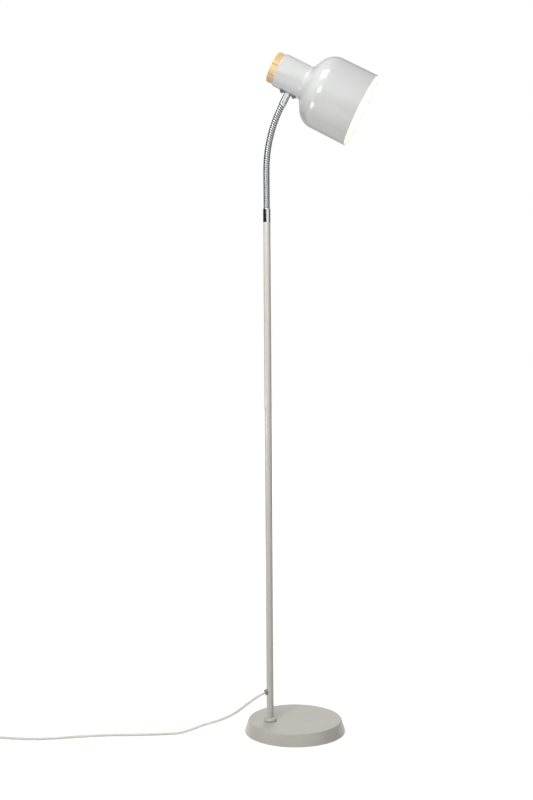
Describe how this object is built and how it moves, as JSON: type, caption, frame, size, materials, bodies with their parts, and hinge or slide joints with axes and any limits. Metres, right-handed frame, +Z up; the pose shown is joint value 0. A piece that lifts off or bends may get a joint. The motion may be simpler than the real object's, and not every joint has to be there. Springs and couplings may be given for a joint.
{
  "type": "floor lamp",
  "caption": "Floor lamp with a round weighted base, a slim pole set off centre, a flexible ribbed neck, a bell-shaped shade with a wooden rear cap, and a mains cord.",
  "frame": {"origin": "centre of the base's underside, on the floor", "axes": "+Z up; the pole and its cord bush stand on the -X side; the neck's upright plane is turned 18.2 degrees from +X towards -Y about the pole"},
  "size_m": [0.9981, 0.2795, 1.4752],
  "materials": {
    "grey_enamel": "satin",
    "shade_enamel": "gloss",
    "chrome": "polished",
    "cast_iron": "matte",
    "steel": "satin",
    "underside": "matte",
    "felt": "matte",
    "bush_rubber": "matte",
    "oak": "satin",
    "lead_sheath": "matte",
    "holder_plastic": "satin",
    "porcelain": "gloss",
    "opal_glass": "satin",
    "bulb_cap_metal": "satin",
    "cream_pvc": "satin",
    "cream_plastic": "satin",
    "tie_plastic": "matte",
    "brass": "satin"
  },
  "bodies": {
    "stand": {"base_cover": "grey_enamel", "base_nut": "steel", "base_plate": "underside", "base_washer": "steel", "base_weight": "cast_iron", "coil_tie": "tie_plastic", "cord_bush": "bush_rubber", "cord_coil": "cream_pvc", "cord_tail": "cream_pvc", "felt_pad": "felt", "foot_collar": "grey_enamel", "foot_insert": "steel", "hose_link_0": "chrome", "lower_coupler": "steel", "neck_lead": "lead_sheath", "plug_body": "cream_plastic", "plug_cord": "cream_pvc", "plug_pins": "steel", "pole_lead": "lead_sheath", "pole_lower": "grey_enamel", "pole_middle": "grey_enamel", "pole_stud": "steel", "pole_upper": "grey_enamel", "power_cord": "cream_pvc", "switch_base": "cream_plastic", "switch_cover": "cream_plastic", "switch_terminals": "brass", "top_ferrule": "chrome", "upper_coupler": "steel"},
    "neck_1": {"hose_link_1": "chrome"},
    "neck_2": {"hose_link_2": "chrome"},
    "neck_3": {"hose_link_3": "chrome"},
    "neck_4": {"hose_link_4": "chrome"},
    "neck_5": {"hose_link_5": "chrome"},
    "neck_6": {"hose_link_6": "chrome"},
    "neck_7": {"hose_link_7": "chrome"},
    "neck_8": {"hose_link_8": "chrome"},
    "neck_9": {"hose_link_9": "chrome"},
    "neck_10": {"hose_link_10": "chrome"},
    "neck_11": {"hose_link_11": "chrome"},
    "head": {"head_ferrule": "chrome", "grub_screw": "steel", "saddle": "chrome", "saddle_screws": "chrome", "shade": "shade_enamel", "wood_cap": "oak", "holder_bracket": "steel", "holder_nipple": "steel", "nipple_nuts": "steel", "holder_shell": "holder_plastic", "contact_block": "porcelain", "holder_skirt": "holder_plastic", "bulb_glass": "opal_glass", "bulb_cap": "bulb_cap_metal", "head_lead": "lead_sheath", "hose_link_12": "chrome"},
    "rocker": {"switch_rocker": "cream_plastic"}
  },
  "joints": [
    {"name": "lower_bend", "type": "hinge", "parent": "stand", "child": "neck_1", "pos_m": [-0.0563, 0, 1.1525], "axis": [0.3123, 0.95, 0], "range_deg": [-16, 12], "deforming": ["neck_lead"]},
    {"name": "lower_sway", "type": "hinge", "parent": "neck_1", "child": "neck_2", "pos_m": [-0.0563, 0, 1.17131], "axis": [0.95, -0.3123, 0], "range_deg": [-10, 10]},
    {"name": "lower_bend_2", "type": "hinge", "parent": "neck_2", "child": "neck_3", "pos_m": [-0.0563, 0, 1.19012], "axis": [0.3123, 0.95, 0], "range_deg": [-16, 12]},
    {"name": "lower_sway_2", "type": "hinge", "parent": "neck_3", "child": "neck_4", "pos_m": [-0.0563, 0, 1.20892], "axis": [0.95, -0.3123, 0], "range_deg": [-10, 10]},
    {"name": "lower_bend_3", "type": "hinge", "parent": "neck_4", "child": "neck_5", "pos_m": [-0.05629, -0.00001, 1.22773], "axis": [0.3123, 0.95, 0], "range_deg": [-16, 12]},
    {"name": "lower_sway_3", "type": "hinge", "parent": "neck_5", "child": "neck_6", "pos_m": [-0.05554, -0.00025, 1.24651], "axis": [0.9474, -0.3115, -0.0732], "range_deg": [-10, 10]},
    {"name": "upper_bend", "type": "hinge", "parent": "neck_6", "child": "neck_7", "pos_m": [-0.05367, -0.00086, 1.26521], "axis": [0.3123, 0.95, 0], "range_deg": [-16, 12]},
    {"name": "upper_sway", "type": "hinge", "parent": "neck_7", "child": "neck_8", "pos_m": [-0.05069, -0.00185, 1.28375], "axis": [0.9311, -0.3061, -0.1982], "range_deg": [-10, 10]},
    {"name": "upper_bend_2", "type": "hinge", "parent": "neck_8", "child": "neck_9", "pos_m": [-0.0466, -0.00319, 1.30205], "axis": [0.3123, 0.95, 0], "range_deg": [-16, 12]},
    {"name": "upper_sway_2", "type": "hinge", "parent": "neck_9", "child": "neck_10", "pos_m": [-0.04142, -0.00489, 1.32005], "axis": [0.9, -0.2959, -0.32], "range_deg": [-10, 10]},
    {"name": "upper_bend_3", "type": "hinge", "parent": "neck_10", "child": "neck_11", "pos_m": [-0.03517, -0.00695, 1.33766], "axis": [0.3123, 0.95, 0], "range_deg": [-16, 12]},
    {"name": "upper_sway_3", "type": "hinge", "parent": "neck_11", "child": "head", "pos_m": [-0.02788, -0.00934, 1.35483], "axis": [0.8546, -0.281, -0.4367], "range_deg": [-10, 10]},
    {"name": "switch_press", "type": "hinge", "parent": "stand", "child": "rocker", "pos_m": [-0.67921, 0.10791, 0.0147], "axis": [0.3067, 0.9518, 0], "range_deg": [0, 16]}
  ],
  "couplings": [
    {"joint": "lower_bend_2", "follows": "lower_bend", "ratio": 1},
    {"joint": "lower_sway_2", "follows": "lower_sway", "ratio": 1},
    {"joint": "lower_bend_3", "follows": "lower_bend", "ratio": 1},
    {"joint": "lower_sway_3", "follows": "lower_sway", "ratio": 1},
    {"joint": "upper_bend_2", "follows": "upper_bend", "ratio": 1},
    {"joint": "upper_sway_2", "follows": "upper_sway", "ratio": 1},
    {"joint": "upper_bend_3", "follows": "upper_bend", "ratio": 1},
    {"joint": "upper_sway_3", "follows": "upper_sway", "ratio": 1}
  ]
}
